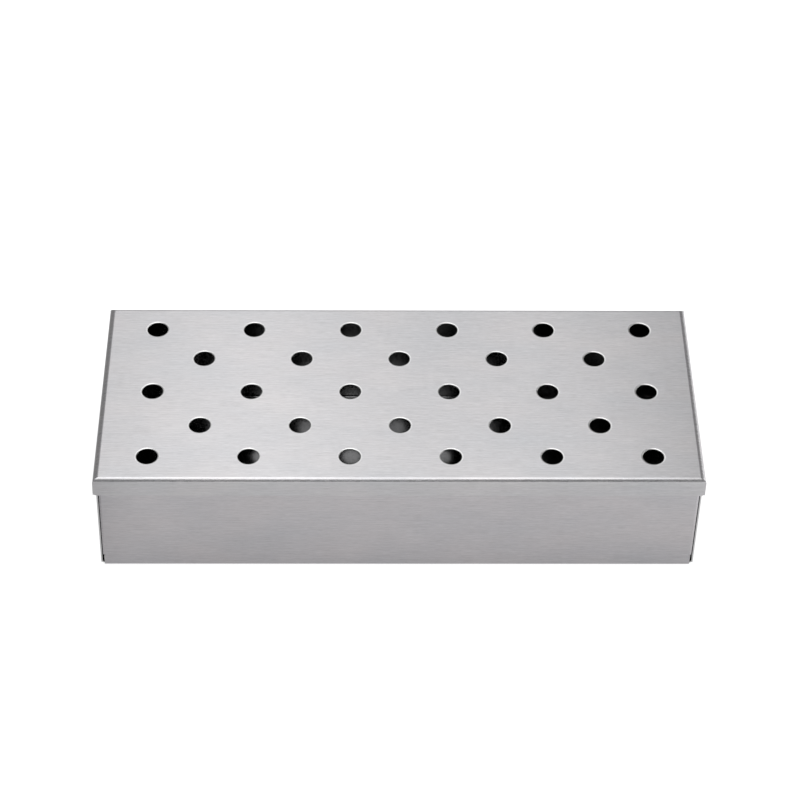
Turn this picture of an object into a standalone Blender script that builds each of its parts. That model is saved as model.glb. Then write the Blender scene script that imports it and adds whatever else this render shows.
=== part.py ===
"""Grill smoker box: a folded stainless-steel tray for wood chips under a perforated lift-off lid.

Each of the two pieces is one folded blank, and is modelled the way it is made: a flat plate first,
then flanges folded from its edges round the bend radius, then the sheet's thickness, then the
punched vents or the spot welds. Lengths are in metres. The box stands on z = 0, its long side lies
along X and its front faces -Y. The lid lifts off along +Z.
"""

import math

import bmesh
import bpy
from mathutils import Matrix, Vector

# Size over the closed box
LENGTH = 0.240
DEPTH = 0.100
HEIGHT = 0.050

# The sheet and its folds
SHEET = 0.0006
INSIDE_BEND_RADIUS = 0.0008
BEND_STEPS = 6

# Room between the lid and the tray
SKIRT_CLEARANCE = 0.0003
SEAT_CLEARANCE = 0.0003

# The lid's skirt and its corners
SKIRT = 0.0087
SKIRT_CORNER_RADIUS = 0.0013
LID_CORNER_RELIEF = 0.0006
BUTT_CLEARANCE = 0.0002

# The vents: long rows and, between them, rows with one vent less, set over by half a pitch
VENT_DIAMETER = 0.0087
VENTS_IN_LONG_ROW = 6
VENT_END_MARGIN = 0.020
VENT_SIDE_MARGIN = 0.0131
VENT_ROW_SHARES = (-1.0, -0.526, 0.0, 0.526, 1.0)
VENT_SIDES = 32

# The tray's corner tabs, which turn off the front and back walls and lie inside the end walls
TAB_LENGTH = 0.013
TAB_RELIEF = 0.0046
TAB_SLIT = 0.0006
TAB_CORNER_RADIUS = 0.003
LAP_CLEARANCE = 0.00015

# The end walls' raw edges, which stop just behind the front and back faces
END_WALL_SETBACK = 0.0004
RIM_CORNER_RADIUS = 0.0006

# The spot welds that hold each tab to its end wall
WELD_DIAMETER = 0.0035
WELD_HEIGHT_SHARES = (0.22, 0.78)
WELD_SIDES = 16

# Drawing values
CORNER_STEPS = 4
CUTTER_OVERRUN = 0.002
SAME_PLACE = 0.000001
SMOOTH_ANGLE = math.radians(30)
QUARTER_TURN = math.radians(90)

# Finish of each piece
LID_COLOR = (0.60, 0.60, 0.61, 1.0)
TRAY_COLOR = (0.50, 0.50, 0.51, 1.0)
BRUSHED_ROUGHNESS = 0.38

# Sizes that follow from the values above
BEND_RADIUS = INSIDE_BEND_RADIUS + SHEET
LID_X = LENGTH / 2
LID_Y = DEPTH / 2
TRAY_X = LID_X - SHEET - SKIRT_CLEARANCE
TRAY_Y = LID_Y - SHEET - SKIRT_CLEARANCE
RIM = HEIGHT - SHEET - SEAT_CLEARANCE
TAB_X = TRAY_X - SHEET - LAP_CLEARANCE
TAB_BOTTOM = BEND_RADIUS + TAB_RELIEF
END_WALL_Y = TRAY_Y - END_WALL_SETBACK


def clear_scene():
    for thing in list(bpy.data.objects):
        bpy.data.objects.remove(thing, do_unlink=True)


def make_collection(name):
    collection = bpy.data.collections.new(name)
    bpy.context.scene.collection.children.link(collection)
    return collection


def make_steel(name, color):
    material = bpy.data.materials.new(name)
    material.use_nodes = True
    shader = material.node_tree.nodes["Principled BSDF"]
    shader.inputs["Base Color"].default_value = color
    shader.inputs["Metallic"].default_value = 1.0
    shader.inputs["Roughness"].default_value = BRUSHED_ROUGHNESS
    return material


def is_at(value, place):
    return abs(value - place) < SAME_PLACE


def flat_plate(bm, half_x, half_y, cut):
    """The blank's middle, cut across at both sides where the narrower flanges begin and end."""
    bmesh.ops.create_grid(bm, x_segments=1, y_segments=1, size=1)
    bmesh.ops.scale(bm, vec=(half_x, half_y, 1), verts=bm.verts)
    for side in (-1, 1):
        everything = bm.verts[:] + bm.edges[:] + bm.faces[:]
        bmesh.ops.bisect_plane(bm, geom=everything, plane_co=side * cut, plane_no=cut)


def edges_where(bm, test):
    """The outline's edges whose two ends both pass the test."""
    return [edge for edge in bm.edges if edge.is_boundary and all(test(v.co) for v in edge.verts)]


def corners_where(bm, test):
    return [vert for vert in bm.verts if test(vert.co)]


def fold(bm, edges, centre, axis, angle):
    """Sweeps edges round a bend and gives back the edges at its end."""
    ends = list({vert for edge in edges for vert in edge.verts})
    swept = bmesh.ops.spin(
        bm, geom=ends + edges, cent=centre, axis=axis, angle=angle, steps=BEND_STEPS
    )
    return [item for item in swept["geom_last"] if isinstance(item, bmesh.types.BMEdge)]


def run_on(bm, edges, way):
    """Carries edges on in a straight line, as the flat of a flange, and gives back its far edges."""
    added = bmesh.ops.extrude_edge_only(bm, edges=edges)["geom"]
    verts = [item for item in added if isinstance(item, bmesh.types.BMVert)]
    bmesh.ops.translate(bm, verts=verts, vec=way)
    far = set(verts)
    return [
        item
        for item in added
        if isinstance(item, bmesh.types.BMEdge) and far.issuperset(item.verts)
    ]


def round_corners(bm, corners, radius):
    bmesh.ops.bevel(
        bm, geom=corners, offset=radius, offset_type="OFFSET",
        segments=CORNER_STEPS, profile=0.5, affect="VERTICES",
    )


def face_outwards(bm, plate_z, outward):
    """Turns all faces the same way, with the plate at plate_z looking along outward."""
    bmesh.ops.recalc_face_normals(bm, faces=bm.faces)
    plate = next(f for f in bm.faces if all(is_at(v.co.z, plate_z) for v in f.verts))
    plate.normal_update()
    if plate.normal.dot(outward) < 0:
        bmesh.ops.reverse_faces(bm, faces=bm.faces)


def make_object(name, bm, collection, place=(0, 0, 0)):
    mesh = bpy.data.meshes.new(name)
    bm.to_mesh(mesh)
    bm.free()
    thing = bpy.data.objects.new(name, mesh)
    thing.location = place
    collection.objects.link(thing)
    return thing


def give_thickness(thing):
    """The drawn skin is the outer face, so the sheet grows inwards from it."""
    solidify = thing.modifiers.new("sheet", "SOLIDIFY")
    solidify.thickness = SHEET
    solidify.offset = -1
    solidify.use_even_offset = True


def use_helper(thing, helper, operation):
    boolean = thing.modifiers.new(helper.name, "BOOLEAN")
    boolean.object = helper
    boolean.operation = operation
    boolean.solver = "EXACT"
    helper.hide_render = True
    helper.display_type = "WIRE"


def make_smooth_by_angle():
    """A node group that shades faces smooth and keeps edges past SMOOTH_ANGLE sharp."""
    group = bpy.data.node_groups.new("smooth_by_angle", "GeometryNodeTree")
    group.is_modifier = True
    group.interface.new_socket("Geometry", in_out="INPUT", socket_type="NodeSocketGeometry")
    group.interface.new_socket("Geometry", in_out="OUTPUT", socket_type="NodeSocketGeometry")
    start = group.nodes.new("NodeGroupInput")
    end = group.nodes.new("NodeGroupOutput")
    angle = group.nodes.new("GeometryNodeInputMeshEdgeAngle")
    sharp = group.nodes.new("FunctionNodeCompare")
    sharp.operation = "GREATER_THAN"
    sharp.inputs["B"].default_value = SMOOTH_ANGLE
    smooth_faces = group.nodes.new("GeometryNodeSetShadeSmooth")
    smooth_faces.domain = "FACE"
    sharp_edges = group.nodes.new("GeometryNodeSetShadeSmooth")
    sharp_edges.domain = "EDGE"
    sharp_edges.inputs["Shade Smooth"].default_value = False
    group.links.new(start.outputs["Geometry"], smooth_faces.inputs["Geometry"])
    group.links.new(smooth_faces.outputs["Geometry"], sharp_edges.inputs["Geometry"])
    group.links.new(angle.outputs["Unsigned Angle"], sharp.inputs["A"])
    group.links.new(sharp.outputs["Result"], sharp_edges.inputs["Selection"])
    group.links.new(sharp_edges.outputs["Geometry"], end.inputs["Geometry"])
    return group


def finish_piece(thing, material, shading):
    thing.data.materials.append(material)
    thing.modifiers.new("shading", "NODES").node_group = shading


def fold_end_walls(bm, floor_x, floor_y):
    """The tray's end walls, whose flats reach on past the floor to their raw edges."""
    for end in (-1, 1):
        edges = edges_where(bm, lambda co: is_at(co.x, end * floor_x))
        centre = (end * floor_x, 0, BEND_RADIUS)
        top = fold(bm, edges, centre, (0, 1, 0), -end * QUARTER_TURN)
        run_on(bm, top, Vector((0, 0, RIM - BEND_RADIUS)))
        for side in (-1, 1):
            wall_side = edges_where(
                bm, lambda co: is_at(co.x, end * TRAY_X) and is_at(co.y, side * floor_y)
            )
            run_on(bm, wall_side, Vector((0, side * (END_WALL_Y - floor_y), 0)))


def fold_long_walls(bm, floor_y, end_x):
    """The front and back walls. Above their feet they narrow to the lines where the tabs turn in."""
    for side in (-1, 1):
        edges = edges_where(bm, lambda co: is_at(co.y, side * floor_y) and is_at(co.z, 0))
        centre = (0, side * floor_y, BEND_RADIUS)
        top = fold(bm, edges, centre, (1, 0, 0), side * QUARTER_TURN)
        top = run_on(bm, top, Vector((0, 0, TAB_RELIEF - TAB_SLIT)))
        narrow = [
            edge for edge in top if all(abs(vert.co.x) < end_x + SAME_PLACE for vert in edge.verts)
        ]
        top = run_on(bm, narrow, Vector((0, 0, TAB_SLIT)))
        run_on(bm, top, Vector((0, 0, RIM - TAB_BOTTOM)))
        for end in (-1, 1):
            fold_tab(bm, end, side, end_x, floor_y)


def fold_tab(bm, end, side, end_x, floor_y):
    edges = edges_where(
        bm,
        lambda co: is_at(co.x, end * end_x)
        and is_at(co.y, side * TRAY_Y)
        and co.z > TAB_BOTTOM - SAME_PLACE,
    )
    centre = (end * end_x, side * floor_y, 0)
    turned = fold(bm, edges, centre, (0, 0, 1), -end * side * QUARTER_TURN)
    run_on(bm, turned, Vector((0, -side * TAB_LENGTH, 0)))


def make_spot_welds(collection, floor_y):
    """Round spots that bridge the lap between each tab and the end wall it lies against."""
    bm = bmesh.new()
    lap_middle = TRAY_X - SHEET - LAP_CLEARANCE / 2
    for end in (-1, 1):
        for side in (-1, 1):
            for share in WELD_HEIGHT_SHARES:
                y = side * (floor_y - TAB_LENGTH / 2)
                z = TAB_BOTTOM + share * (RIM - TAB_BOTTOM)
                place = Matrix.Translation((end * lap_middle, y, z))
                bmesh.ops.create_cone(
                    bm, cap_ends=True, segments=WELD_SIDES, depth=LAP_CLEARANCE + SHEET,
                    radius1=WELD_DIAMETER / 2, radius2=WELD_DIAMETER / 2,
                    matrix=place @ Matrix.Rotation(QUARTER_TURN, 4, "Y"),
                )
    return make_object("spot_welds", bm, collection)


def make_tray(parts, helpers, shading):
    """The folded tray: floor, four walls and four corner tabs, spot-welded inside the end walls."""
    floor_x = TRAY_X - BEND_RADIUS
    floor_y = TRAY_Y - BEND_RADIUS
    end_x = TAB_X - BEND_RADIUS
    bm = bmesh.new()
    flat_plate(bm, floor_x, floor_y, Vector((end_x, 0, 0)))
    fold_end_walls(bm, floor_x, floor_y)
    fold_long_walls(bm, floor_y, end_x)
    tab_end = floor_y - TAB_LENGTH
    round_corners(
        bm,
        corners_where(bm, lambda co: is_at(abs(co.x), TAB_X) and is_at(abs(co.y), tab_end)),
        TAB_CORNER_RADIUS,
    )
    round_corners(
        bm,
        corners_where(
            bm,
            lambda co: is_at(abs(co.x), TRAY_X) and is_at(abs(co.y), END_WALL_Y) and is_at(co.z, RIM),
        ),
        RIM_CORNER_RADIUS,
    )
    face_outwards(bm, 0, Vector((0, 0, -1)))
    tray = make_object("tray", bm, parts)
    give_thickness(tray)
    use_helper(tray, make_spot_welds(helpers, floor_y), "UNION")
    finish_piece(tray, make_steel("tray_steel", TRAY_COLOR), shading)
    return tray


def fold_lid_skirt(bm, plate_x, plate_y, end_y):
    """Front and back flanges over the full length, and end flanges that butt against them."""
    drop = Vector((0, 0, BEND_RADIUS - SKIRT))
    for side in (-1, 1):
        edges = edges_where(bm, lambda co: is_at(co.y, side * plate_y))
        bottom = fold(bm, edges, (0, side * plate_y, -BEND_RADIUS), (1, 0, 0), -side * QUARTER_TURN)
        run_on(bm, bottom, drop)
        for end in (-1, 1):
            flange_end = edges_where(
                bm, lambda co: is_at(co.x, end * plate_x) and side * co.y > plate_y - SAME_PLACE
            )
            run_on(bm, flange_end, Vector((end * BEND_RADIUS, 0, 0)))
    for end in (-1, 1):
        edges = edges_where(
            bm,
            lambda co: is_at(co.x, end * plate_x)
            and is_at(co.z, 0)
            and abs(co.y) < end_y + SAME_PLACE,
        )
        bottom = fold(bm, edges, (end * plate_x, 0, -BEND_RADIUS), (0, 1, 0), end * QUARTER_TURN)
        run_on(bm, bottom, drop)
        for side in (-1, 1):
            flange_end = edges_where(
                bm,
                lambda co: is_at(co.x, end * LID_X)
                and is_at(co.y, side * end_y)
                and co.z < SAME_PLACE - BEND_RADIUS,
            )
            to_butt = LID_Y - SHEET - BUTT_CLEARANCE - end_y
            run_on(bm, flange_end, Vector((0, side * to_butt, 0)))


def vent_places():
    """The centre of every vent, row by row."""
    pitch = (LENGTH - 2 * VENT_END_MARGIN) / (VENTS_IN_LONG_ROW - 1)
    for row, share in enumerate(VENT_ROW_SHARES):
        count = VENTS_IN_LONG_ROW - row % 2
        for column in range(count):
            yield (column - (count - 1) / 2) * pitch, share * (LID_Y - VENT_SIDE_MARGIN)


def make_vent_punches(collection):
    bm = bmesh.new()
    for x, y in vent_places():
        bmesh.ops.create_cone(
            bm, cap_ends=True, segments=VENT_SIDES, depth=SHEET + 2 * CUTTER_OVERRUN,
            radius1=VENT_DIAMETER / 2, radius2=VENT_DIAMETER / 2,
            matrix=Matrix.Translation((x, y, HEIGHT - SHEET / 2)),
        )
    return make_object("vent_punches", bm, collection)


def make_lid(parts, helpers, shading):
    """The folded lid. Its object sits at the middle of its plate, on the line that it lifts along."""
    plate_x = LID_X - BEND_RADIUS
    plate_y = LID_Y - BEND_RADIUS
    end_y = plate_y - LID_CORNER_RELIEF
    bm = bmesh.new()
    flat_plate(bm, plate_x, plate_y, Vector((0, end_y, 0)))
    fold_lid_skirt(bm, plate_x, plate_y, end_y)
    round_corners(
        bm,
        corners_where(
            bm, lambda co: is_at(abs(co.x), LID_X) and is_at(abs(co.y), LID_Y) and is_at(co.z, -SKIRT)
        ),
        SKIRT_CORNER_RADIUS,
    )
    face_outwards(bm, 0, Vector((0, 0, 1)))
    lid = make_object("lid", bm, parts, (0, 0, HEIGHT))
    give_thickness(lid)
    use_helper(lid, make_vent_punches(helpers), "DIFFERENCE")
    finish_piece(lid, make_steel("lid_steel", LID_COLOR), shading)
    return lid


def main():
    clear_scene()
    parts = make_collection("grill_smoker_box")
    helpers = make_collection("helpers")
    shading = make_smooth_by_angle()
    make_tray(parts, helpers, shading)
    make_lid(parts, helpers, shading)


main()
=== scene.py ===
"""Looks of the grill smoker box: a folded tray under a perforated lid, in brushed stainless steel.

Laid out as an add-on. Each sheet is drawn as its flat blank, folded round its bends, given its
thickness and then punched. The finish follows the blank, so the grain turns with every fold.
Lengths are in metres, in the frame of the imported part: the box stands on z = 0 and faces -Y.
"""

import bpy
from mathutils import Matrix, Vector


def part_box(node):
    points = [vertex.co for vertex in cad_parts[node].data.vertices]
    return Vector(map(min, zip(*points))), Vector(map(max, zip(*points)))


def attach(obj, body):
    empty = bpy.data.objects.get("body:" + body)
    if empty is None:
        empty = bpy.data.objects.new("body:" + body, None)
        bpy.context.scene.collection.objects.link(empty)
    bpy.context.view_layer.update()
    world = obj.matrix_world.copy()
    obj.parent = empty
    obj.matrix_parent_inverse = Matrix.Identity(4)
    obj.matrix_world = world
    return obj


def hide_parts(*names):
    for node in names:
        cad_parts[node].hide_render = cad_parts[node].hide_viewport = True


bl_info = {
    "name": "Grill Smoker Box",
    "version": (1, 0, 0),
    "blender": (4, 5, 0),
    "location": "View3D > Sidebar > Smoker Box",
    "description": "Folds a smoker box's tray and lid from sheet steel and sets them on a white stage",
    "category": "Object",
}

import math
import bmesh
import bpy
from bpy.props import FloatProperty, FloatVectorProperty, IntProperty, PointerProperty
from mathutils import Matrix, Vector

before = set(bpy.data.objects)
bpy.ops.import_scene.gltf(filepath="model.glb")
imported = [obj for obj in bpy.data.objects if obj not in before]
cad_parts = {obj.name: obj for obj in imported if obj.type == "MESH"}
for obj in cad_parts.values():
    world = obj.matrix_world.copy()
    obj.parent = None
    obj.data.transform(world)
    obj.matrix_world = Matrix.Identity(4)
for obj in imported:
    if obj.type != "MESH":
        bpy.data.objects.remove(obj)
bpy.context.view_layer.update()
LID_LOW, LID_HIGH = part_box("lid")
TRAY_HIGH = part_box("tray")[1]

# Where the sheets end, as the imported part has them
TOP = LID_HIGH.z
SKIRT_BOTTOM = LID_LOW.z
LID_X = LID_HIGH.x
LID_Y = LID_HIGH.y
TRAY_X = TRAY_HIGH.x
TRAY_Y = TRAY_HIGH.y
RIM = TRAY_HIGH.z

# Drawing values
QUARTER_TURN = math.radians(90)
SAME_PLACE = 0.00001
BEND_STEPS = 12
CORNER_STEPS = 6
ROUND_EDGE_STEPS = 3
PUNCH_SIDES = 72
PUNCH_STEPS = 6
PUNCH_OVERRUN = 0.002
WELD_SIDES = 36
SMOOTH_ANGLE = math.radians(50)
SHARP_ANGLE = math.radians(60)

# How much of a quarter turn the punch's shoulder goes through before it runs flat
SHOULDER_SHARE = 0.9375

# The vents' rows, as shares of the way from the middle to the outer rows
VENT_ROW_SHARES = (-1.0, -0.526, 0.0, 0.526, 1.0)

# Heights of the spot welds, as shares of the tab's height, and the soft rim's share of their depth
WELD_HEIGHT_SHARES = (0.22, 0.78)
WELD_RIM_SHARE = 0.8


def length_value(name, description, default, **limits):
    """A length in metres that the user can change."""
    return FloatProperty(
        name=name, description=description, default=default, unit="LENGTH", precision=5, **limits
    )


def share_value(name, description, default, low=0.0):
    """A share of up to 1 that the user can change."""
    return FloatProperty(
        name=name, description=description, default=default, min=low, max=1.0, subtype="FACTOR"
    )


def color_value(name, description, default):
    """A colour that the user can change."""
    return FloatVectorProperty(
        name=name, description=description, default=default, min=0.0, max=1.0, subtype="COLOR"
    )


def power_value(name, description, default):
    """A lamp's power in watts that the user can change."""
    return FloatProperty(name=name, description=description, default=default, min=0.0, unit="POWER")


class SheetSizes(bpy.types.PropertyGroup):
    """Sizes of the sheet steel that both pieces are folded from."""

    thickness: length_value("Thickness", "Thickness of the sheet steel", 0.0006, min=0.0001)
    bend_radius: length_value(
        "Bend radius", "Radius of the outer face of the tray's folds", 0.0014, min=0.0005
    )
    edge_round: length_value("Edge rounding", "Rounding left on the sheared edges", 0.00007, min=0.0)


class LidSizes(bpy.types.PropertyGroup):
    """Sizes of the lid's folds and vents."""

    mitre_gap: length_value(
        "Mitre gap", "Slit between the two flanges that meet at a corner", 0.00015, min=0.0
    )
    skirt_corner: length_value(
        "Skirt corner", "Radius of the lower corners of the long flanges", 0.0015, min=0.0
    )
    long_radius: length_value(
        "Long bend radius", "Radius of the folds along the front and back", 0.0018, min=0.0005
    )
    left_radius: length_value(
        "Left bend radius", "Radius of the fold at the left end", 0.0024, min=0.0005
    )
    right_radius: length_value(
        "Right bend radius", "Radius of the fold at the right end", 0.0024, min=0.0005
    )
    left_inset: length_value(
        "Left fold inset", "How much further in the left end's fold lies than its skirt", 0.0003
    )
    vent_diameter: length_value("Vent diameter", "Diameter of the punched vents", 0.0084, min=0.001)
    vent_pitch: length_value(
        "Vent pitch", "Distance between neighbouring vents in a row", 0.03985, min=0.005
    )
    vent_shift: length_value(
        "Vent shift", "How far the punched pattern lies off the lid's middle", 0.0005
    )
    vent_rows_reach: length_value(
        "Vent rows reach", "Distance from the lid's middle to the outer vent rows", 0.0369, min=0.005
    )
    vents_in_long_row: IntProperty(
        name="Vents in a long row", description="Vents in each long row. The rows between have one less",
        default=6, min=2,
    )
    roll_width: length_value(
        "Rim roll width", "Width of the rounded edge that the punch leaves round a vent", 0.00065, min=0.0
    )
    roll_depth: length_value(
        "Rim roll depth", "Depth of the rounded edge that the punch leaves round a vent", 0.00021, min=0.0
    )


class TraySizes(bpy.types.PropertyGroup):
    """Sizes of the tray's corner tabs and welds."""

    rim_drop: length_value(
        "Rim drop", "How far the rim stays down, clear of the insides of the lid's folds", 0.00055, min=0.0
    )
    tab_length: length_value(
        "Tab length", "Length of the tabs that lie inside the end walls", 0.013, min=0.002
    )
    tab_bottom: length_value(
        "Tab bottom", "Height of the tabs' lower edges over the ground", 0.006, min=0.002
    )
    tab_corner: length_value("Tab corner", "Radius of the tabs' free corners", 0.003, min=0.0)
    tab_slit: length_value(
        "Tab slit", "Height of the slit under each tab, which lets its bend turn", 0.0002, min=0.0001
    )
    end_setback: length_value(
        "End setback", "How far the end walls' raw edges lie behind the long walls", 0.0005, min=0.0
    )
    rim_corner: length_value(
        "Rim corner", "Radius of the upper corners of the end walls", 0.0006, min=0.0
    )
    left_rim_inset: length_value(
        "Left rim inset", "How far in the left end leans at the rim", 0.00045
    )
    left_foot_outset: length_value(
        "Left foot outset", "How far out the left end stands at the foot", 0.0004
    )
    right_foot_inset: length_value(
        "Right foot inset", "How far in the right end stands at the foot", 0.0003
    )
    lap_gap: length_value(
        "Lap gap", "Gap between a tab and the end wall that it is welded to", 0.00002, min=0.0
    )
    weld_diameter: length_value(
        "Weld diameter", "Diameter of the dents that spot welding leaves in the tabs", 0.0035, min=0.001
    )
    weld_depth: length_value(
        "Weld depth", "Depth of the dents that spot welding leaves in the tabs", 0.00012, min=0.0
    )


class SteelLook(bpy.types.PropertyGroup):
    """Colours and brushing of the steel."""

    lid_color: color_value("Lid colour", "Colour of the lid's brushed steel", (0.64, 0.64, 0.645))
    tray_color: color_value("Tray colour", "Colour of the tray's brushed steel", (0.625, 0.615, 0.625))
    # Darker than the brushed steel: the unbrushed finish with painted shade for the inside of the box
    shaded_inside_color: color_value(
        "Inside colour", "Colour of the unbrushed faces inside the box", (0.49, 0.49, 0.495)
    )
    edge_color: color_value("Edge colour", "Colour of the sheared edges", (0.70, 0.70, 0.70))
    rim_color: color_value(
        "Rim colour", "Colour of the punched rims and the weld dents, which are burnished",
        (0.78, 0.78, 0.78),
    )
    roughness: share_value("Roughness", "Mean roughness of the brushed faces", 0.36, low=0.05)
    brushing: share_value("Brushing", "How much the reflections spread across the grain", 0.7)
    line_width: length_value(
        "Grain width", "Width of the plainest lines in the grain", 0.0006, min=0.0001
    )
    line_length: length_value(
        "Grain length", "Length of the plainest lines in the grain", 0.012, min=0.001
    )


class StageLook(bpy.types.PropertyGroup):
    """Light and floor of the stage. Each lamp's power bears the lamp's name."""

    softbox: power_value("Softbox", "Power of the large lamp over the box", 1.12)
    left_streak: power_value("Left streak", "Power of the lamp that draws the streak on the left", 0.2)
    right_streak: power_value(
        "Right streak", "Power of the lamp that draws the streak on the right", 0.075
    )
    strip_lamp: power_value("Strip lamp", "Power of the strip lamp that lines the front fold", 0.79)
    side_lamp: power_value(
        "Side lamp", "Power of the standing lamp that lines the right end's fold", 2.4
    )
    fill_lamp: power_value(
        "Fill lamp", "Power of the small lamp over the camera, which shows in the front vents", 0.2
    )
    ambient: share_value("Ambient", "Strength of the light from all round", 0.28)
    floor_color: color_value("Floor colour", "Colour of the floor under the box", (0.5, 0.5, 0.5))


def near(value, place):
    """Whether a value is that of the place, but for rounding."""
    return abs(value - place) < SAME_PLACE


def select_only(*pieces):
    """Selects these objects and nothing else, and makes the first of them active."""
    bpy.ops.object.select_all(action="DESELECT")
    for piece in pieces:
        piece.select_set(True)
    bpy.context.view_layer.objects.active = pieces[0]


def select_parts(piece, kind, test):
    """Selects the points, edges or faces of the piece in edit mode that pass the test."""
    bpy.ops.mesh.select_mode(type=kind)
    bpy.ops.mesh.select_all(action="DESELECT")
    bm = bmesh.from_edit_mesh(piece.data)
    for part in {"VERT": bm.verts, "EDGE": bm.edges, "FACE": bm.faces}[kind]:
        part.select_set(test(part))
    bmesh.update_edit_mesh(piece.data)


def select_open_edges(piece, test):
    """Selects the sheet's open edges whose two ends pass the test."""
    select_parts(piece, "EDGE", lambda edge: edge.is_boundary and all(test(v.co) for v in edge.verts))


def start_blank(name, x_low, x_high, half_y, z):
    """Adds the flat middle of a blank as a plane at its size and place, open in edit mode."""
    bpy.ops.object.select_all(action="DESELECT")
    bpy.ops.mesh.primitive_plane_add(size=1, location=((x_low + x_high) / 2, 0, z))
    piece = bpy.context.active_object
    piece.name = name
    piece.data.name = name
    piece.scale = (x_high - x_low, 2 * half_y, 1)
    bpy.ops.object.transform_apply(location=True, rotation=True, scale=True)
    bpy.ops.object.mode_set(mode="EDIT")
    return piece


def cut_across(place, across):
    """Cuts the whole blank along the line through a place, square to the way across it."""
    bpy.ops.mesh.select_all(action="SELECT")
    bpy.ops.mesh.bisect(plane_co=place, plane_no=across)


def fold(centre, axis, angle):
    """Sweeps the selected edges round a bend. The edges at its end are selected afterwards."""
    bpy.ops.mesh.spin(steps=BEND_STEPS, angle=angle, center=centre, axis=axis)


def run_on(way):
    """Carries the selected edges on in a straight line, as the flat of a flange."""
    bpy.ops.mesh.extrude_edges_move(TRANSFORM_OT_translate={"value": way})


def round_corners(piece, test, radius):
    """Rounds the sheet's corners that pass the test."""
    select_parts(piece, "VERT", lambda vert: test(vert.co))
    bpy.ops.mesh.bevel(
        offset_type="OFFSET", offset=radius, segments=CORNER_STEPS, profile=0.5, affect="VERTICES"
    )


def close_drawing(piece, plate_z, outward):
    """Turns the whole skin's faces out, with the plate at plate_z looking along outward."""
    bpy.ops.mesh.select_mode(type="FACE")
    bpy.ops.mesh.select_all(action="SELECT")
    bpy.ops.mesh.remove_doubles(threshold=SAME_PLACE / 10)
    bpy.ops.mesh.normals_make_consistent(inside=False)
    bm = bmesh.from_edit_mesh(piece.data)
    plate = next(face for face in bm.faces if all(near(v.co.z, plate_z) for v in face.verts))
    if plate.normal.dot(outward) < 0:
        bpy.ops.mesh.flip_normals()
    bpy.ops.object.mode_set(mode="OBJECT")


def apply_modifier(piece, kind, settings):
    """Adds a modifier with its settings to a piece and applies it."""
    select_only(piece)
    bpy.ops.object.modifier_add(type=kind)
    modifier = piece.modifiers[-1]
    for name, value in settings.items():
        setattr(modifier, name, value)
    bpy.ops.object.modifier_apply(modifier=modifier.name)


def give_thickness(piece, sheet, finishes):
    """Grows the sheet inwards from its outer face. Its raw edges and inner faces wear their own steel."""
    for material in finishes:
        piece.data.materials.append(material)
    thickness = {
        "thickness": sheet.thickness, "offset": -1, "use_even_offset": True,
        "material_offset_rim": 1, "material_offset": 2,
    }
    apply_modifier(piece, "SOLIDIFY", thickness)


def break_edges(piece, sheet):
    """Rounds the sheared edges a little."""
    broken_edges = {
        "width": sheet.edge_round, "segments": ROUND_EDGE_STEPS, "limit_method": "ANGLE",
        "angle_limit": SHARP_ANGLE, "material": 1,
    }
    apply_modifier(piece, "BEVEL", broken_edges)


def cut_with(piece, tool):
    """Cuts a tool out of a piece. The faces that it leaves wear the tool's material."""
    settings = {"object": tool, "operation": "DIFFERENCE", "solver": "EXACT", "material_mode": "TRANSFER"}
    apply_modifier(piece, "BOOLEAN", settings)
    bpy.data.objects.remove(tool, do_unlink=True)


def start_tool(steel, **cylinder):
    """Adds a cylinder as the start of a cutting tool, open in edit mode."""
    bpy.ops.object.select_all(action="DESELECT")
    bpy.ops.mesh.primitive_cylinder_add(**cylinder)
    tool = bpy.context.active_object
    bpy.ops.object.transform_apply(location=True, rotation=True, scale=True)
    tool.data.materials.append(steel)
    bpy.ops.object.mode_set(mode="EDIT")
    return tool


def copy_to(tool, places):
    """Copies a tool to each place, gives its own mesh to each copy, and joins them all into one."""
    copies = []
    for place in places:
        select_only(tool)
        bpy.ops.object.duplicate(linked=False)
        bpy.ops.transform.translate(value=place)
        copies.append(bpy.context.active_object)
    bpy.data.objects.remove(tool, do_unlink=True)
    select_only(*copies)
    bpy.ops.object.join()
    bpy.ops.object.transform_apply(location=True, rotation=True, scale=True)
    return bpy.context.active_object


def smooth_faces(piece):
    """Shades the bends smooth and keeps the flats flat and the sheared edges sharp."""
    select_only(piece)
    bpy.ops.object.shade_smooth_by_angle(angle=SMOOTH_ANGLE)
    apply_modifier(piece, "WEIGHTED_NORMAL", {"mode": "FACE_AREA", "keep_sharp": True})


def distance_on_blank(across, along, radius):
    """How far into a square bend and its flange a point lies, measured on the flat blank.

    across and along are the point's distances from the bend's start, beside and beyond the fold.
    """
    if along > radius:
        return radius * QUARTER_TURN + along - radius
    return radius * min(max(math.atan2(across, radius - along), 0), QUARTER_TURN)


def bend_share(distance, radius):
    """0 on the flats, and up to 1 half way round a bend."""
    share = distance / (radius * QUARTER_TURN)
    return math.sin(math.pi * share) if 0 < share < 1 else 0.0


def lay_on_blank(piece, place_on_blank):
    """Gives a piece the UV map "blank", in metres on its flat blank, and "bend", high in the folds."""
    mesh = piece.data
    while mesh.uv_layers:
        mesh.uv_layers.remove(mesh.uv_layers[0])
    mesh.uv_layers.new(name="blank")
    mesh.attributes.new("bend", "FLOAT", "CORNER")
    blank = mesh.uv_layers["blank"]
    bend = mesh.attributes["bend"]
    for polygon in mesh.polygons:
        region = place_on_blank(polygon.center)
        for loop in polygon.loop_indices:
            u, v, bent = region(mesh.vertices[mesh.loops[loop].vertex_index].co)
            blank.uv[loop].vector = (u, v)
            bend.data[loop].value = bent


def end_radius(lid, end):
    """The bend radius of the lid's fold at that end."""
    return lid.right_radius if end > 0 else lid.left_radius


def mitre_slope(lid, end):
    """How far an end fold goes out along X for each step that the long fold goes along Y."""
    return end_radius(lid, end) / lid.long_radius


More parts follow.
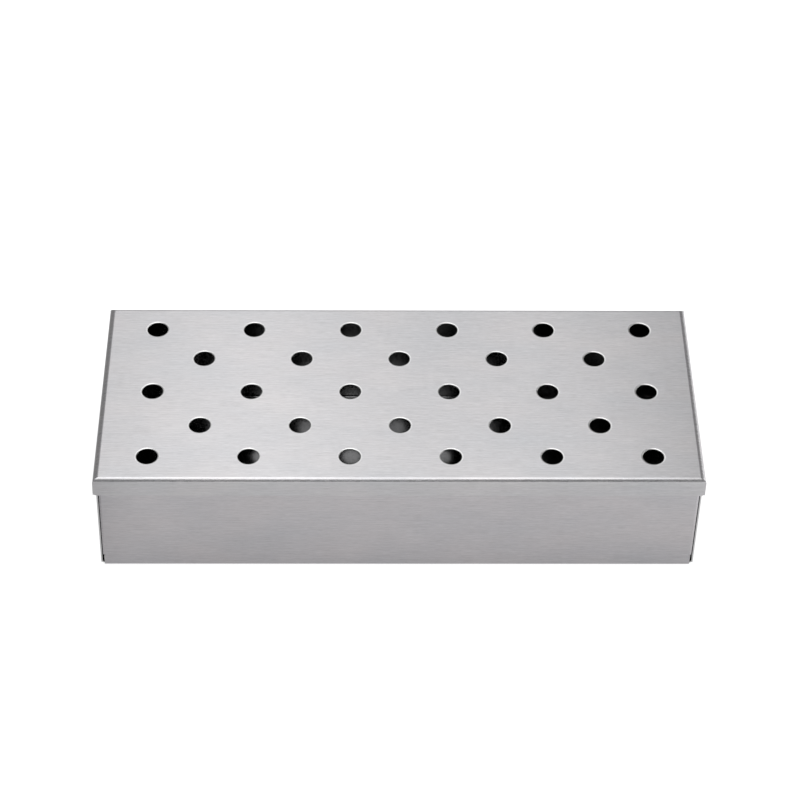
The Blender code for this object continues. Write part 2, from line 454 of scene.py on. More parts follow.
def draw_lid(lid):
    """Draws the outer face of the lid: the plate, then its four flanges, wide enough for mitres."""
    radius = lid.long_radius
    plate_y = LID_Y - radius
    end_y = plate_y - lid.mitre_gap
    start_x = {end: LID_X - end_radius(lid, end) for end in (-1, 1)}
    piece = start_blank("lid_shell", -start_x[-1], start_x[1], plate_y, TOP)
    long_ends = piece.vertex_groups.new(name="long_ends")
    end_sides = piece.vertex_groups.new(name="end_sides")
    for side in (-1, 1):
        cut_across((0, side * end_y, 0), (0, 1, 0))
    for side in (-1, 1):
        select_open_edges(piece, lambda co: near(co.y, side * plate_y))
        fold((0, side * plate_y, TOP - radius), (1, 0, 0), side * QUARTER_TURN)
        run_on((0, 0, SKIRT_BOTTOM - TOP + radius))
        for end in (-1, 1):
            select_open_edges(
                piece,
                lambda co: near(co.x, end * start_x[end]) and side * co.y > plate_y - SAME_PLACE,
            )
            run_on((end * (LID_X - start_x[end]), 0, 0))
            remember_selected(piece, long_ends)
    for end in (-1, 1):
        fold_lid_end(piece, end, end_y, end_radius(lid, end))
        for side in (-1, 1):
            select_open_edges(
                piece,
                lambda co: end * co.x > start_x[end] - SAME_PLACE and near(co.y, side * end_y),
            )
            run_on((0, side * (LID_Y - lid.mitre_gap - end_y), 0))
            remember_selected(piece, end_sides)
    round_corners(
        piece,
        lambda co: near(abs(co.x), LID_X) and near(abs(co.y), LID_Y) and near(co.z, SKIRT_BOTTOM),
        lid.skirt_corner,
    )
    close_drawing(piece, TOP, Vector((0, 0, 1)))
    return piece


def remember_selected(piece, group):
    """Puts the selected points into a vertex group."""
    piece.vertex_groups.active = group
    bpy.ops.object.vertex_group_assign()


def fold_lid_end(piece, end, end_y, radius):
    """Folds one end flange down to the skirt's bottom."""
    start_x = end * (LID_X - radius)
    select_open_edges(
        piece, lambda co: near(co.x, start_x) and near(co.z, TOP) and abs(co.y) < end_y + SAME_PLACE
    )
    fold((start_x, 0, TOP - radius), (0, 1, 0), -end * QUARTER_TURN)
    run_on((0, 0, SKIRT_BOTTOM - TOP + radius))


def close_mitres(piece, lid):
    """Draws the flanges' ends back to the mitres, through the whole thickness of the sheet."""
    long_ends = piece.vertex_groups["long_ends"].index
    end_sides = piece.vertex_groups["end_sides"].index
    for vert in piece.data.vertices:
        groups = [each.group for each in vert.groups]
        end = 1 if vert.co.x > 0 else -1
        side = 1 if vert.co.y > 0 else -1
        slope = mitre_slope(lid, end)
        if long_ends in groups:
            vert.co.x -= end * slope * (LID_Y - abs(vert.co.y))
        elif end_sides in groups:
            vert.co.y -= side * (LID_X - abs(vert.co.x)) / slope
    bpy.ops.object.mode_set(mode="EDIT")
    bpy.ops.mesh.select_all(action="SELECT")
    bpy.ops.mesh.remove_doubles(threshold=SAME_PLACE)
    bpy.ops.object.mode_set(mode="OBJECT")
    piece.vertex_groups.clear()


def lean_left_flange(piece, lid):
    """Draws the left end's fold in, so that its flange stands out a little from upright."""
    for vert in piece.data.vertices:
        if vert.co.x < 2 * lid.left_radius - LID_X:
            vert.co.x += lid.left_inset * (vert.co.z - SKIRT_BOTTOM) / (TOP - SKIRT_BOTTOM)


def vent_places(lid):
    """The centre of every vent, row by row."""
    for row, share in enumerate(VENT_ROW_SHARES):
        count = lid.vents_in_long_row - row % 2
        for column in range(count):
            x = (column - (count - 1) / 2) * lid.vent_pitch + lid.vent_shift
            yield x, share * lid.vent_rows_reach, 0


def make_punch(sheet, lid, steel):
    """A round punch whose shoulder flares out, so that it leaves a rolled rim on the plate."""
    radius = lid.vent_diameter / 2
    length = sheet.thickness + PUNCH_OVERRUN
    middle = (0, 0, TOP - lid.roll_depth - length / 2)
    punch = start_tool(steel, vertices=PUNCH_SIDES, radius=radius, depth=length, location=middle)
    select_parts(punch, "FACE", lambda face: near(face.normal.z, 1))
    height, reach = 0.0, radius
    for step in range(1, PUNCH_STEPS + 1):
        angle = QUARTER_TURN * SHOULDER_SHARE * step / PUNCH_STEPS
        rise = lid.roll_depth * math.sin(angle) - height
        wider = radius + lid.roll_width * (1 - math.cos(angle))
        widen_top(rise, wider / reach)
        height += rise
        reach = wider
    widen_top(lid.roll_depth - height + SAME_PLACE, (radius + lid.roll_width) / reach)
    widen_top(PUNCH_OVERRUN, 1)
    bpy.ops.object.mode_set(mode="OBJECT")
    return punch


def widen_top(rise, scale):
    """Extrudes the selected top face upwards and scales it about its middle."""
    bpy.ops.mesh.extrude_region_move(TRANSFORM_OT_translate={"value": (0, 0, rise)})
    bpy.ops.transform.resize(value=(scale, scale, 1), center_override=(0, 0, 0))


def lid_on_blank(lid):
    """For a face of the lid, the function that lays its points on the flat blank."""
    radius = lid.long_radius
    plate_y = LID_Y - radius

    def on_long_flange(co):
        side = math.copysign(1, co.y)
        distance = distance_on_blank(abs(co.y) - plate_y, TOP - co.z, radius)
        return co.x, side * (plate_y + distance), bend_share(distance, radius)

    def on_end_flange(co):
        end = math.copysign(1, co.x)
        own_radius = end_radius(lid, end)
        start_x = LID_X - own_radius
        distance = distance_on_blank(abs(co.x) - start_x, TOP - co.z, own_radius)
        return end * (start_x + distance), co.y, bend_share(distance, own_radius)

    def on_plate(co):
        return co.x, co.y, 0.0

    def choose(centre):
        end = math.copysign(1, centre.x)
        to_front = LID_Y - abs(centre.y)
        to_end = LID_X - abs(centre.x)
        in_front_of_mitre = to_front < to_end / mitre_slope(lid, end) + lid.mitre_gap / 2
        if abs(centre.y) > plate_y and in_front_of_mitre:
            return on_long_flange
        return on_end_flange if to_end < end_radius(lid, end) else on_plate

    return choose


def tab_bend_x(sheet, tray):
    """Where the tabs' bends start, so that the tabs lie inside the end walls."""
    return TRAY_X - sheet.thickness - tray.lap_gap - sheet.bend_radius


def draw_tray(sheet, tray):
    """Draws the outer face of the tray: the floor, the end walls, the long walls, then their tabs."""
    radius = sheet.bend_radius
    floor_x = TRAY_X - radius
    floor_y = TRAY_Y - radius
    wall_y = TRAY_Y - tray.end_setback
    rim = RIM - tray.rim_drop
    end_x = tab_bend_x(sheet, tray)
    piece = start_blank("tray_shell", -floor_x, floor_x, floor_y, 0)
    for end in (-1, 1):
        cut_across((end * end_x, 0, 0), (1, 0, 0))
    for end in (-1, 1):
        select_open_edges(piece, lambda co: near(co.x, end * floor_x))
        fold((end * floor_x, 0, radius), (0, 1, 0), end * QUARTER_TURN)
        run_on((0, 0, rim - radius))
        for side in (-1, 1):
            select_open_edges(
                piece, lambda co: near(co.x, end * TRAY_X) and near(co.y, side * floor_y)
            )
            run_on((0, side * (wall_y - floor_y), 0))
    for side in (-1, 1):
        fold_long_wall(piece, sheet, tray, side)
        for end in (-1, 1):
            select_open_edges(
                piece,
                lambda co: near(co.x, end * end_x)
                and near(co.y, side * TRAY_Y)
                and co.z > tray.tab_bottom - SAME_PLACE,
            )
            fold((end * end_x, side * floor_y, 0), (0, 0, 1), end * side * QUARTER_TURN)
            run_on((0, -side * tray.tab_length, 0))
    tab_end = floor_y - tray.tab_length
    round_corners(
        piece, lambda co: near(abs(co.x), end_x + radius) and near(abs(co.y), tab_end), tray.tab_corner
    )
    round_corners(
        piece,
        lambda co: near(abs(co.x), TRAY_X) and near(abs(co.y), wall_y) and near(co.z, rim),
        tray.rim_corner,
    )
    close_drawing(piece, 0, Vector((0, 0, -1)))
    return piece


def fold_long_wall(piece, sheet, tray, side):
    """Folds one long wall up. Over its foot it is only as wide as the tabs' bends leave it."""
    radius = sheet.bend_radius
    floor_y = side * (TRAY_Y - radius)
    foot_top = tray.tab_bottom - tray.tab_slit
    end_x = tab_bend_x(sheet, tray)
    select_open_edges(piece, lambda co: near(co.y, floor_y) and near(co.z, 0))
    fold((0, floor_y, radius), (1, 0, 0), -side * QUARTER_TURN)
    run_on((0, 0, foot_top - radius))
    select_open_edges(
        piece,
        lambda co: near(co.y, side * TRAY_Y) and near(co.z, foot_top) and abs(co.x) < end_x + SAME_PLACE,
    )
    run_on((0, 0, tray.tab_slit))
    run_on((0, 0, RIM - tray.rim_drop - tray.tab_bottom))


def lean_tray_ends(piece, tray):
    """Leans the tray's ends a little off upright, as hand folding leaves them."""
    for vert in piece.data.vertices:
        height = vert.co.z / RIM
        if vert.co.x < 0:
            outset = tray.left_foot_outset * (1 - height) - tray.left_rim_inset * height
        else:
            outset = -tray.right_foot_inset * (1 - height)
        vert.co.x *= 1 + outset / TRAY_X


def make_weld_tool(tray, steel):
    """A short round electrode that leaves a shallow dent with a soft rim in each tab."""
    tool = start_tool(
        steel, vertices=WELD_SIDES, radius=tray.weld_diameter / 2, depth=2 * tray.weld_depth,
        rotation=(0, QUARTER_TURN, 0),
    )
    bpy.ops.mesh.select_all(action="SELECT")
    bpy.ops.mesh.bevel(
        offset=tray.weld_depth * WELD_RIM_SHARE, segments=ROUND_EDGE_STEPS, affect="EDGES"
    )
    bpy.ops.object.mode_set(mode="OBJECT")
    return tool


def weld_places(sheet, tray):
    """The middle of every spot weld, on the inner faces of the tabs."""
    x = TRAY_X - 2 * sheet.thickness - tray.lap_gap
    y = TRAY_Y - sheet.bend_radius - tray.tab_length / 2
    for end in (-1, 1):
        for side in (-1, 1):
            for share in WELD_HEIGHT_SHARES:
                yield end * x, side * y, tray.tab_bottom + share * (RIM - tray.tab_bottom)


def tray_on_blank(sheet, tray):
    """For a face of the tray, the function that lays its points on the flat blank."""
    radius = sheet.bend_radius
    floor_x = TRAY_X - radius
    floor_y = TRAY_Y - radius
    end_x = tab_bend_x(sheet, tray)
    lap_x = TRAY_X - sheet.thickness - tray.lap_gap / 2
    slit_z = tray.tab_bottom - tray.tab_slit / 2

    def on_end_wall(co):
        end = math.copysign(1, co.x)
        distance = distance_on_blank(abs(co.x) - floor_x, co.z, radius)
        return end * (floor_x + distance), co.y, bend_share(distance, radius)

    def on_long_wall(co):
        side = math.copysign(1, co.y)
        distance = distance_on_blank(abs(co.y) - floor_y, co.z, radius)
        return co.x, side * (floor_y + distance), bend_share(distance, radius)

    def on_tab(co):
        end = math.copysign(1, co.x)
        side = math.copysign(1, co.y)
        distance = distance_on_blank(abs(co.x) - end_x, TRAY_Y - abs(co.y), radius)
        up_wall = floor_y + radius * QUARTER_TURN + co.z - radius
        return end * (end_x + distance), side * up_wall, bend_share(distance, radius)

    def on_floor(co):
        return co.x, co.y, 0.0

    def choose(centre):
        in_end_bend = abs(centre.x) > floor_x and centre.z < radius
        if in_end_bend or abs(centre.x) > lap_x:
            return on_end_wall
        if abs(centre.x) > end_x and centre.z > slit_z:
            return on_tab
        return on_long_wall if abs(centre.y) > floor_y else on_floor

    return choose


# Values that finishes share. A noise is given as its detail and its roughness
GRAIN_NOISE = (3.0, 0.6)
PATCH_NOISE = (2.5, 0.5)
SECOND_PATCHES_PLACE = (7.3, 2.9, 0.0)
ROUGHNESS_SPREAD = 0.05

# The brushed faces, with heights in metres
LINE_CONTRAST = 2.2
FINE_LINES_SHARE = 0.6
FINE_LINES_SHORTER = 4
FINE_LINES_THINNER = 3
DARK_TINT = (0.93, 0.94, 0.965)
LIGHT_TINT = (1.07, 1.035, 1.035)
DARK_LINES = 0.84
LIGHT_LINES = 1.16
PATCHY_ROUGHNESS = 0.06
BURNISHED_BENDS = -0.14
ACROSS_THE_GRAIN = 0.25
BRUSHED_PATCHES = {"Patch Size": 0.02, "Stretch": 1.8}
WAVE_HEIGHT = 0.0001
SCRATCH_HEIGHT = 0.000008
SCRATCH_STRENGTH = 0.5

# The sheared and burnished edges
TOOL_MARKS = {"Line Length": 0.002, "Line Width": 0.0002, "Contrast": 1.0}
EDGE_TINTS = ((0.94,) * 3, (1.06,) * 3)
SHEARED_ROUGHNESS = 0.4
WELD_ROUGHNESS = 0.3
RIM_ROUGHNESS = 0.25

# The unbrushed inner faces
ROLL_MARKS = {"Patch Size": 0.006, "Stretch": 6.0}
INSIDE_PATCHES = {"Patch Size": 0.04, "Stretch": 1.5}
INSIDE_TINTS = ((0.92,) * 3, (1.08,) * 3)
INSIDE_ROUGHNESS = (0.08, 0.13)
ROLL_MARK_RANGE = (0.3, 0.7)
INSIDE_WAVE_HEIGHT = 0.00002
INSIDE_WAVE_STRENGTH = 0.6


def feed(tree, node, inputs):
    """Gives each input of a node its value, or links it to the output that is given for it."""
    for socket, value in inputs.items():
        if isinstance(value, bpy.types.NodeSocket):
            tree.links.new(value, node.inputs[socket])
        else:
            node.inputs[socket].default_value = value


def add_node(tree, kind, inputs=None, **settings):
    """Adds a node with its settings and feeds its inputs."""
    node = tree.nodes.new(kind)
    for name, value in settings.items():
        setattr(node, name, value)
    feed(tree, node, inputs or {})
    return node


def calculate(tree, operation, *values, **settings):
    """The result of a sum with values or outputs."""
    return add_node(
        tree, "ShaderNodeMath", dict(enumerate(values)), operation=operation, **settings
    ).outputs[0]


def calculate_places(tree, operation, *values):
    """The result of a sum with vectors or their outputs."""
    return add_node(
        tree, "ShaderNodeVectorMath", dict(enumerate(values)), operation=operation
    ).outputs[0]


def scale_color(tree, color, scale):
    """A colour, made darker or lighter by an output."""
    return add_node(
        tree, "ShaderNodeVectorMath", {0: color, "Scale": scale}, operation="SCALE"
    ).outputs[0]


def carry_over(tree, value, goal, start=(0.0, 1.0)):
    """Carries an output over from the range start to the range goal."""
    ends = {"From Min": start[0], "From Max": start[1], "To Min": goal[0], "To Max": goal[1]}
    return add_node(tree, "ShaderNodeMapRange", {"Value": value, **ends}).outputs[0]


def mix_values(tree, factor, first, second):
    """A value between two others."""
    return add_node(
        tree, "ShaderNodeMix", {"Factor": factor, "A": first, "B": second}, data_type="FLOAT"
    ).outputs[0]


def mix_tints(tree, factor, color, tints):
    """A colour between a darker and a lighter tint, given as scales of red, green and blue."""
    dark, light = (
        tuple(min(part * scale, 1) for part, scale in zip(color, tint)) + (1,) for tint in tints
    )
    return add_node(
        tree, "ShaderNodeMix", {"Factor": factor, "A": dark, "B": light}, data_type="RGBA"
    ).outputs["Result"]


def add_noise(tree, place, detail, roughness):
    """Noise on a flat place, in which a spot is about one unit wide."""
    inputs = {"Vector": place, "Scale": 1.0, "Detail": detail, "Roughness": roughness}
    return add_node(tree, "ShaderNodeTexNoise", inputs, noise_dimensions="2D").outputs["Fac"]


def start_group(name, inputs, outputs):
    """A shader node group with inputs at their defaults, what it is given, and its output node."""
    group = bpy.data.node_groups.new(name, "ShaderNodeTree")
    for socket, value in inputs.items():
        kind = "NodeSocketFloat" if isinstance(value, float) else "NodeSocketVector"
        group.interface.new_socket(socket, in_out="INPUT", socket_type=kind).default_value = value
    for socket in outputs:
        group.interface.new_socket(socket, in_out="OUTPUT", socket_type="NodeSocketFloat")
    return group, add_node(group, "NodeGroupInput").outputs, add_node(group, "NodeGroupOutput")


def use_group(tree, group, place, values):
    """Places a group on the blank or on the object and returns its outputs."""
    return add_node(tree, "ShaderNodeGroup", {"Blank": place, **values}, node_tree=group).outputs


def make_grain_group():
    """Brushed lines: noise on the blank, drawn out along the way of brushing."""
    group, given, end = start_group(
        "brushed_grain",
        {"Blank": (0.0, 0.0, 0.0), "Line Length": 0.02, "Line Width": 0.0005, "Contrast": 1.0},
        ("Lines",),
    )
    place = add_node(group, "ShaderNodeSeparateXYZ", {0: given["Blank"]}).outputs
    along = calculate(group, "DIVIDE", place["X"], given["Line Length"])
    across = calculate(group, "DIVIDE", place["Y"], given["Line Width"])
    drawn = add_node(group, "ShaderNodeCombineXYZ", {"X": along, "Y": across}).outputs[0]
    middle = calculate(group, "SUBTRACT", add_noise(group, drawn, *GRAIN_NOISE), 0.5)
    feed(group, end, {"Lines": calculate(group, "MULTIPLY_ADD", middle, given["Contrast"], 0.5)})
    return group


def make_cloud_group():
    """Soft patches on the blank, for faint differences in tint, polish and flatness."""
    group, given, end = start_group(
        "steel_clouds",
        {"Blank": (0.0, 0.0, 0.0), "Patch Size": 0.04, "Stretch": 2.0},
        ("Patches", "Second Patches"),
    )
    scale = calculate(group, "DIVIDE", 1.0, given["Patch Size"])
    longer = calculate(group, "DIVIDE", scale, given["Stretch"])
    shape = add_node(group, "ShaderNodeCombineXYZ", {"X": longer, "Y": scale}).outputs[0]
    placed = calculate_places(group, "MULTIPLY", given["Blank"], shape)
    moved = calculate_places(group, "ADD", placed, SECOND_PATCHES_PLACE)
    for place, socket in ((placed, "Patches"), (moved, "Second Patches")):
        feed(group, end, {socket: add_noise(group, place, *PATCH_NOISE)})
    return group


def start_steel(name):
    """A new material of bare metal, with its tree and its shader."""
    material = bpy.data.materials.new(name)
    material.use_nodes = True
    shader = material.node_tree.nodes["Principled BSDF"]
    shader.inputs["Metallic"].default_value = 1.0
    return material, material.node_tree, shader


def make_brushed_steel(name, color, look, grain, clouds):
    """Brushed stainless steel: fine and plain lines, faint patches, and folds that are burnished."""
    material, tree, shader = start_steel(name)
    blank = add_node(tree, "ShaderNodeUVMap", uv_map="blank").outputs["UV"]
    tangent = add_node(tree, "ShaderNodeTangent", direction_type="UV_MAP", uv_map="blank").outputs[0]
    bend = add_node(tree, "ShaderNodeAttribute", attribute_name="bend").outputs["Fac"]
    plain = {"Line Length": look.line_length, "Line Width": look.line_width, "Contrast": LINE_CONTRAST}
    fine = {
        "Line Length": look.line_length / FINE_LINES_SHORTER,
        "Line Width": look.line_width / FINE_LINES_THINNER,
        "Contrast": LINE_CONTRAST,
    }
    plain_lines = use_group(tree, grain, blank, plain)["Lines"]
    fine_lines = use_group(tree, grain, blank, fine)["Lines"]
    patches = use_group(tree, clouds, blank, BRUSHED_PATCHES)
    lines = mix_values(tree, FINE_LINES_SHARE, plain_lines, fine_lines)
    tint = mix_tints(tree, patches["Patches"], color, (DARK_TINT, LIGHT_TINT))
    spread = (look.roughness - ROUGHNESS_SPREAD, look.roughness + ROUGHNESS_SPREAD)
    rough = carry_over(tree, fine_lines, spread)
    uneven = calculate(tree, "MULTIPLY_ADD", patches["Second Patches"], PATCHY_ROUGHNESS, rough)
    waves = {"Strength": 1.0, "Distance": WAVE_HEIGHT, "Height": patches["Second Patches"]}
    scratches = {
        "Strength": SCRATCH_STRENGTH, "Distance": SCRATCH_HEIGHT, "Height": plain_lines,
        "Normal": add_node(tree, "ShaderNodeBump", waves).outputs[0],
    }
    feed(tree, shader, {
        "Base Color": scale_color(tree, tint, carry_over(tree, lines, (DARK_LINES, LIGHT_LINES))),
        "Roughness": calculate(tree, "MULTIPLY_ADD", bend, BURNISHED_BENDS, uneven),
        "Anisotropic": look.brushing,
        "Anisotropic Rotation": ACROSS_THE_GRAIN,
        "Tangent": tangent,
        "Normal": add_node(tree, "ShaderNodeBump", scratches).outputs[0],
    })
    return material


def make_edge_steel(name, color, roughness, grain):
    """Bare steel of a sheared edge or a punched rim, with short tool marks."""
    material, tree, shader = start_steel(name)
    place = add_node(tree, "ShaderNodeTexCoord").outputs["Object"]
    marks = use_group(tree, grain, place, TOOL_MARKS)["Lines"]
    spread = (roughness - ROUGHNESS_SPREAD, roughness + ROUGHNESS_SPREAD)
    feed(tree, shader, {
        "Base Color": mix_tints(tree, marks, color, EDGE_TINTS),
        "Roughness": carry_over(tree, marks, spread),
    })
    return material


def make_inside_steel(name, look, clouds):
    """The mill finish of the inner faces, which are left unbrushed: smooth, with soft roll marks, and
    darker than the outside as painted shade inside the box.
    """
    material, tree, shader = start_steel(name)
    blank = add_node(tree, "ShaderNodeUVMap", uv_map="blank").outputs["UV"]
    marks = use_group(tree, clouds, blank, ROLL_MARKS)["Patches"]
    patches = use_group(tree, clouds, blank, INSIDE_PATCHES)
    waves = {
        "Strength": INSIDE_WAVE_STRENGTH, "Distance": INSIDE_WAVE_HEIGHT,
        "Height": patches["Second Patches"],
    }
    feed(tree, shader, {
        "Base Color": mix_tints(tree, patches["Patches"], look.shaded_inside_color, INSIDE_TINTS),
        "Roughness": carry_over(tree, marks, INSIDE_ROUGHNESS, start=ROLL_MARK_RANGE),
        "Normal": add_node(tree, "ShaderNodeBump", waves).outputs[0],
    })
    return material


def make_finishes(body, color, look, tool_mark, tool_mark_roughness):
    """The steels of a piece: brushed outside, sheared edges, unbrushed inside darkened as painted shade,
    and its tool's marks.
    """
    grain = bpy.data.node_groups.get("brushed_grain") or make_grain_group()
    clouds = bpy.data.node_groups.get("steel_clouds") or make_cloud_group()
    return (
        make_brushed_steel(f"brushed_{body}_steel", color, look, grain, clouds),
        make_edge_steel(f"sheared_{body}_edge", look.edge_color, SHEARED_ROUGHNESS, grain),
        make_inside_steel(f"mill_finish_{body}_inside", look, clouds),
        make_edge_steel(tool_mark, look.rim_color, tool_mark_roughness, grain),
    )


def finish_piece(piece, node, choose):
    """Lays the finish on a folded piece and puts it in the place of the node that bears its body's name."""
    lay_on_blank(piece, choose)
    smooth_faces(piece)
    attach(piece, node)
    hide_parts(node)


class SMOKERBOX_OT_make_tray(bpy.types.Operator):
    """Fold the tray from one blank, with its corner tabs welded inside the end walls"""

    bl_idname = "smokerbox.make_tray"
    bl_label = "Make Tray"

    def execute(self, context):
        sheet = context.scene.smokerbox_sheet
        tray = context.scene.smokerbox_tray
        look = context.scene.smokerbox_steel
        finishes = make_finishes("tray", look.tray_color, look, "weld_dent", WELD_ROUGHNESS)
        piece = draw_tray(sheet, tray)
        give_thickness(piece, sheet, finishes)
        break_edges(piece, sheet)
        cut_with(piece, copy_to(make_weld_tool(tray, finishes[-1]), weld_places(sheet, tray)))
        finish_piece(piece, "tray", tray_on_blank(sheet, tray))
        lean_tray_ends(piece, tray)
        return {"FINISHED"}


class SMOKERBOX_OT_make_lid(bpy.types.Operator):
    """Fold the lid from one blank and punch its vents"""

    bl_idname = "smokerbox.make_lid"
    bl_label = "Make Lid"

    def execute(self, context):
        sheet = context.scene.smokerbox_sheet
        lid = context.scene.smokerbox_lid
        look = context.scene.smokerbox_steel
        finishes = make_finishes("lid", look.lid_color, look, "punched_rim", RIM_ROUGHNESS)
        piece = draw_lid(lid)
        give_thickness(piece, sheet, finishes)
        close_mitres(piece, lid)
        break_edges(piece, sheet)
        cut_with(piece, copy_to(make_punch(sheet, lid, finishes[-1]), vent_places(lid)))
        finish_piece(piece, "lid", lid_on_blank(lid))
        lean_left_flange(piece, lid)
        return {"FINISHED"}


# The camera's place and turn, from the photo's perspective
CAMERA_PLACE = Vector((-0.01276, -0.75128, 0.76944))
CAMERA_PITCH = 0.767
CAMERA_YAW = 0.0179
CAMERA_ROLL = 0.0137
CAMERA_LENS = 116.0
CAMERA_SENSOR = 36.0

# The floor
FLOOR_SIZE = 8.0
FLOOR_DROP = 0.0002
FLOOR_GLOW = 0.86

# The floor's glow in the steel, a painted reflection that is darker to the left: its reach to each side,
# and pairs of a place along X and a strength
FLOOR_REACH = 0.4
PAINTED_FLOOR_REFLECTION = ((-0.3, 0.05), (-0.15, 0.2), (-0.11, 0.73), (0.13, 0.71), (0.17, 1.0))

# The range along Y over which that glow sinks to its share close to the box, as a painted shadow of the box
# in the steel
FLOOR_SHADOW_RANGE = (-0.3, -0.05)
FLOOR_SHADOW_SHARE = 0.53

# The lamps, each with its place, size and turn from straight down
STRAIGHT_DOWN = (0.0, 0.0, 0.0)
TO_THE_LEFT = (0.0, QUARTER_TURN, 0.0)
DOWN_AND_BACK = (QUARTER_TURN / 2, 0.0, 0.0)
LAMPS = {
    "softbox": ((-0.045, 0.55, 0.62), (0.57, 1.1), STRAIGHT_DOWN),
    "left_streak": ((-0.1, 0.35, 0.6), (0.14, 0.9), STRAIGHT_DOWN),
    "right_streak": ((0.1, 0.3, 0.6), (0.08, 0.8), STRAIGHT_DOWN),
    "strip_lamp": ((-0.05, -0.05, 0.61), (0.5, 0.4), STRAIGHT_DOWN),
    "side_lamp": ((0.75, -0.05, 0.22), (0.44, 1.0), TO_THE_LEFT),
    "fill_lamp": ((-0.07, -0.62, 0.906), (0.26, 0.3), DOWN_AND_BACK),
}


def add_camera():
    """The camera, aimed by its pitch, yaw and roll."""
    ahead = Vector((
        math.sin(CAMERA_YAW) * math.cos(CAMERA_PITCH),
        math.cos(CAMERA_YAW) * math.cos(CAMERA_PITCH),
        -math.sin(CAMERA_PITCH),
    ))
    level = Vector((math.cos(CAMERA_YAW), -math.sin(CAMERA_YAW), 0))
    above = level.cross(ahead)
    right = math.cos(CAMERA_ROLL) * level + math.sin(CAMERA_ROLL) * above
    up = math.cos(CAMERA_ROLL) * above - math.sin(CAMERA_ROLL) * level
    turn = Matrix((right, up, -ahead)).transposed()
    bpy.ops.object.camera_add(location=CAMERA_PLACE, rotation=turn.to_euler())
    camera = bpy.context.active_object
    camera.name = "camera"
    camera.data.sensor_width = CAMERA_SENSOR
    camera.data.lens = CAMERA_LENS
    bpy.context.scene.camera = camera


def add_lamp(name, place, size, turn, power):
    """A rectangular lamp, turned from shining straight down, that the camera doesn't see."""
    bpy.ops.object.light_add(type="AREA", location=place, rotation=turn)
    lamp = bpy.context.active_object
    lamp.name = name
    lamp.data.shape = "RECTANGLE"
    lamp.data.size, lamp.data.size_y = size
    lamp.data.energy = power
    lamp.visible_camera = False


def look_straight(tree, path):
    """1 for what the camera sees straight or through glass, and 0 for the rest."""
    return calculate(tree, "ADD", path["Is Camera Ray"], path["Is Transmission Ray"], use_clamp=True)


def make_floor_material(color):
    """A pale floor that is white to the camera but for the shadow.

    In the steel its glow is painted: dimmer to the left, and with a painted shadow close to the box. From
    below it is clear.
    """
    material = bpy.data.materials.new("stage_floor")
    material.use_nodes = True
    tree = material.node_tree
    tree.nodes.clear()
    path = add_node(tree, "ShaderNodeLightPath").outputs
    object_place = add_node(tree, "ShaderNodeTexCoord").outputs["Object"]
    place = add_node(tree, "ShaderNodeSeparateXYZ", {0: object_place}).outputs
    # Painted reflection: the glow that the steel sees is set darker to the left by place along X
    across = carry_over(tree, place["X"], (0.0, 1.0), start=(-FLOOR_REACH, FLOOR_REACH))
    by_place = add_node(tree, "ShaderNodeValToRGB", {"Fac": across})
    stops = by_place.color_ramp.elements
    while len(stops) < len(PAINTED_FLOOR_REFLECTION):
        stops.new(1.0)
    for stop, (x, strength) in zip(stops, PAINTED_FLOOR_REFLECTION):
        stop.position = (x + FLOOR_REACH) / (2 * FLOOR_REACH)
        stop.color = (strength, strength, strength, 1)
    # Painted shadow: the glow that the steel sees is lowered close to the box
    painted_shadow = carry_over(tree, place["Y"], (1.0, FLOOR_SHADOW_SHARE), start=FLOOR_SHADOW_RANGE)
    shadowed_glow = scale_color(tree, by_place.outputs["Color"], painted_shadow)
    straight = calculate(tree, "MULTIPLY", look_straight(tree, path), FLOOR_GLOW)
    strength = calculate(tree, "MULTIPLY_ADD", path["Is Glossy Ray"], shadowed_glow, straight)
    matt = add_node(tree, "ShaderNodeBsdfDiffuse", {"Color": (*color, 1)})
    glow = add_node(tree, "ShaderNodeEmission", {"Strength": strength})
    lit = add_node(tree, "ShaderNodeAddShader", {0: matt.outputs[0], 1: glow.outputs[0]})
    below = add_node(tree, "ShaderNodeNewGeometry").outputs["Backfacing"]
    clear = add_node(tree, "ShaderNodeBsdfTransparent")
    one_sided = {0: below, 1: lit.outputs[0], 2: clear.outputs[0]}
    surface = add_node(tree, "ShaderNodeMixShader", one_sided).outputs[0]
    add_node(tree, "ShaderNodeOutputMaterial", {"Surface": surface})
    return material


def light_world(ambient):
    """White behind the stage, and a dim studio for the steel and the floor."""
    world = bpy.data.worlds.new("studio")
    bpy.context.scene.world = world
    world.use_nodes = True
    tree = world.node_tree
    path = add_node(tree, "ShaderNodeLightPath").outputs
    strength = mix_values(tree, look_straight(tree, path), ambient, 1.0)
    feed(tree, tree.nodes["Background"], {"Color": (1, 1, 1, 1), "Strength": strength})


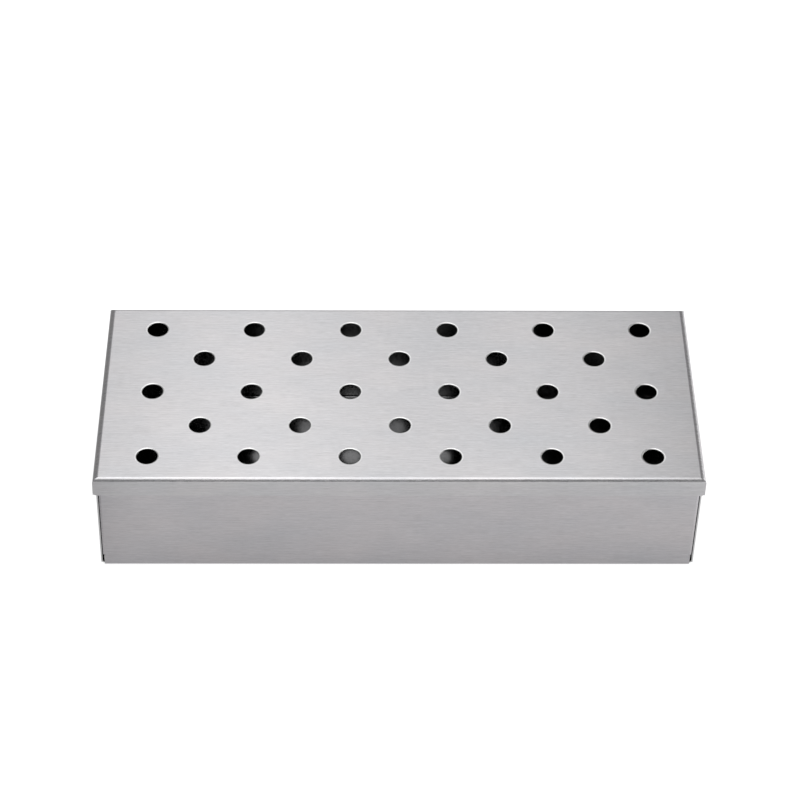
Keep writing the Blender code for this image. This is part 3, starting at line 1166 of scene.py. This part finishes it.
class SMOKERBOX_OT_set_stage(bpy.types.Operator):
    """Set the floor, the lamps and the camera round the box"""

    bl_idname = "smokerbox.set_stage"
    bl_label = "Set Stage"

    def execute(self, context):
        stage = context.scene.smokerbox_stage
        context.scene.view_settings.view_transform = "Standard"
        bpy.ops.object.select_all(action="DESELECT")
        bpy.ops.mesh.primitive_plane_add(size=FLOOR_SIZE, location=(0, 0, -FLOOR_DROP))
        floor = context.active_object
        floor.name = "floor"
        bpy.ops.object.transform_apply(location=True, rotation=True, scale=True)
        floor.data.materials.append(make_floor_material(stage.floor_color))
        for name, (place, size, turn) in LAMPS.items():
            add_lamp(name, place, size, turn, getattr(stage, name))
        light_world(stage.ambient)
        add_camera()
        return {"FINISHED"}


class SMOKERBOX_PT_panel(bpy.types.Panel):
    """The smoker box's pieces and sizes, in the sidebar"""

    bl_label = "Smoker Box"
    bl_space_type = "VIEW_3D"
    bl_region_type = "UI"
    bl_category = "Smoker Box"

    def draw(self, context):
        layout = self.layout
        for operator in (SMOKERBOX_OT_make_tray, SMOKERBOX_OT_make_lid, SMOKERBOX_OT_set_stage):
            layout.operator(operator.bl_idname)
        for name, kind in SETTINGS.items():
            settings = getattr(context.scene, name)
            column = layout.column(align=True)
            for each in kind.__annotations__:
                column.prop(settings, each)


SETTINGS = {
    "smokerbox_sheet": SheetSizes,
    "smokerbox_lid": LidSizes,
    "smokerbox_tray": TraySizes,
    "smokerbox_steel": SteelLook,
    "smokerbox_stage": StageLook,
}
CLASSES = (
    *SETTINGS.values(),
    SMOKERBOX_OT_make_tray,
    SMOKERBOX_OT_make_lid,
    SMOKERBOX_OT_set_stage,
    SMOKERBOX_PT_panel,
)


def register():
    for each in CLASSES:
        bpy.utils.register_class(each)
    for name, kind in SETTINGS.items():
        setattr(bpy.types.Scene, name, PointerProperty(type=kind))


def unregister():
    for name in SETTINGS:
        delattr(bpy.types.Scene, name)
    for each in reversed(CLASSES):
        bpy.utils.unregister_class(each)


def main():
    register()
    bpy.ops.smokerbox.make_tray()
    bpy.ops.smokerbox.make_lid()
    bpy.ops.smokerbox.set_stage()


if __name__ == "__main__":
    main()
